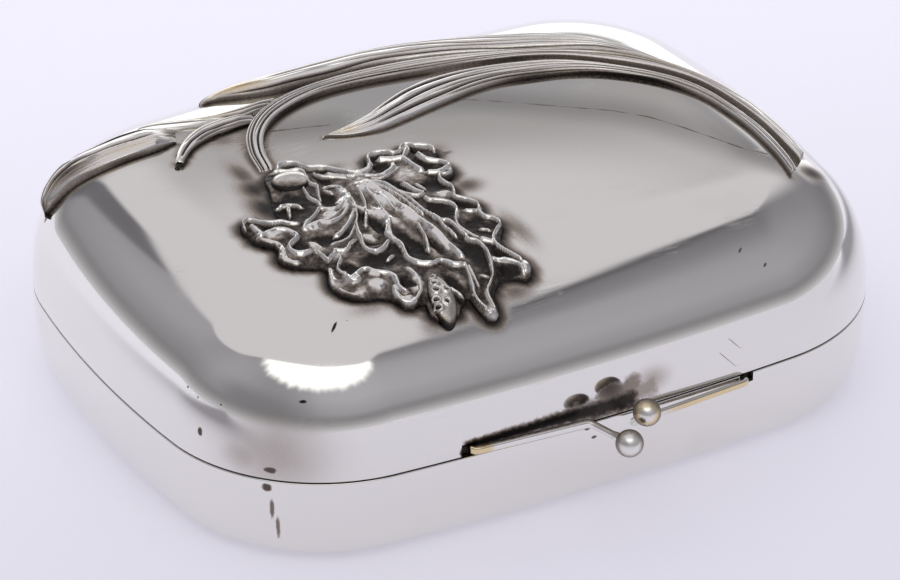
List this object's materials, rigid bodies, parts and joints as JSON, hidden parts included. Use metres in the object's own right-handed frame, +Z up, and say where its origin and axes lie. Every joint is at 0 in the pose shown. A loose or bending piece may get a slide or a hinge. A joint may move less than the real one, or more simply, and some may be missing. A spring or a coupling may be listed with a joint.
{
  "type": "trinket box",
  "caption": "Pillow-shaped metal trinket box with a hinged domed lid, a plant in relief on the lid and a kiss-lock clasp of two sprung wire arms with balls.",
  "frame": {"origin": "centre of the flat underside of the base", "axes": "+X along the long sides, to the right seen from the front; -Y out of the front, where the clasp is; +Y towards the hinge at the back; +Z up"},
  "size_m": [0.15, 0.1339, 0.0492],
  "materials": {
    "silver_plate": "polished silver plate with dark patina in the hollows of the relief",
    "worn_plate": "polished plate worn to a warm base metal",
    "pin_steel": "plain steel wire",
    "velvet_lining": "short pile velvet"
  },
  "bodies": {
    "base": {"base_shell": "silver_plate", "base_bezel": "silver_plate", "base_lining_band": "velvet_lining", "base_floor_pad": "velvet_lining", "base_hinge_leaf": "silver_plate", "hinge_pin": "pin_steel"},
    "lid": {"lid_shell": "silver_plate", "lid_lining_band": "velvet_lining", "lid_pad": "velvet_lining", "lid_hinge_leaf": "silver_plate", "main_stem": "silver_plate", "upper_leaf": "silver_plate", "middle_leaf": "silver_plate", "left_stem": "silver_plate", "tendril": "silver_plate", "bud": "silver_plate", "leaf_head": "silver_plate", "flower_cup": "silver_plate", "seed_pod": "silver_plate"},
    "lid_arm": {"lid_clasp_arm": "silver_plate", "lid_clasp_ball": "worn_plate"},
    "base_arm": {"base_clasp_arm": "silver_plate", "base_clasp_ball": "worn_plate"}
  },
  "joints": [
    {"name": "lid_hinge", "type": "hinge", "parent": "base", "child": "lid", "pos_m": [0, 0.0607, 0.019], "axis": [-1, 0, 0], "range_deg": [0, 100]},
    {"name": "lid_arm_flex", "type": "hinge", "parent": "lid", "child": "lid_arm", "pos_m": [-0.0274, -0.05766, 0.0207], "axis": [0, 0, -1], "range_deg": [-1, 4.5], "stiffness_Nm_per_rad": 0.15},
    {"name": "base_arm_flex", "type": "hinge", "parent": "base", "child": "base_arm", "pos_m": [0.031, -0.05748, 0.018], "axis": [0, 0, -1], "range_deg": [-1, 3.5], "stiffness_Nm_per_rad": 0.15}
  ]
}
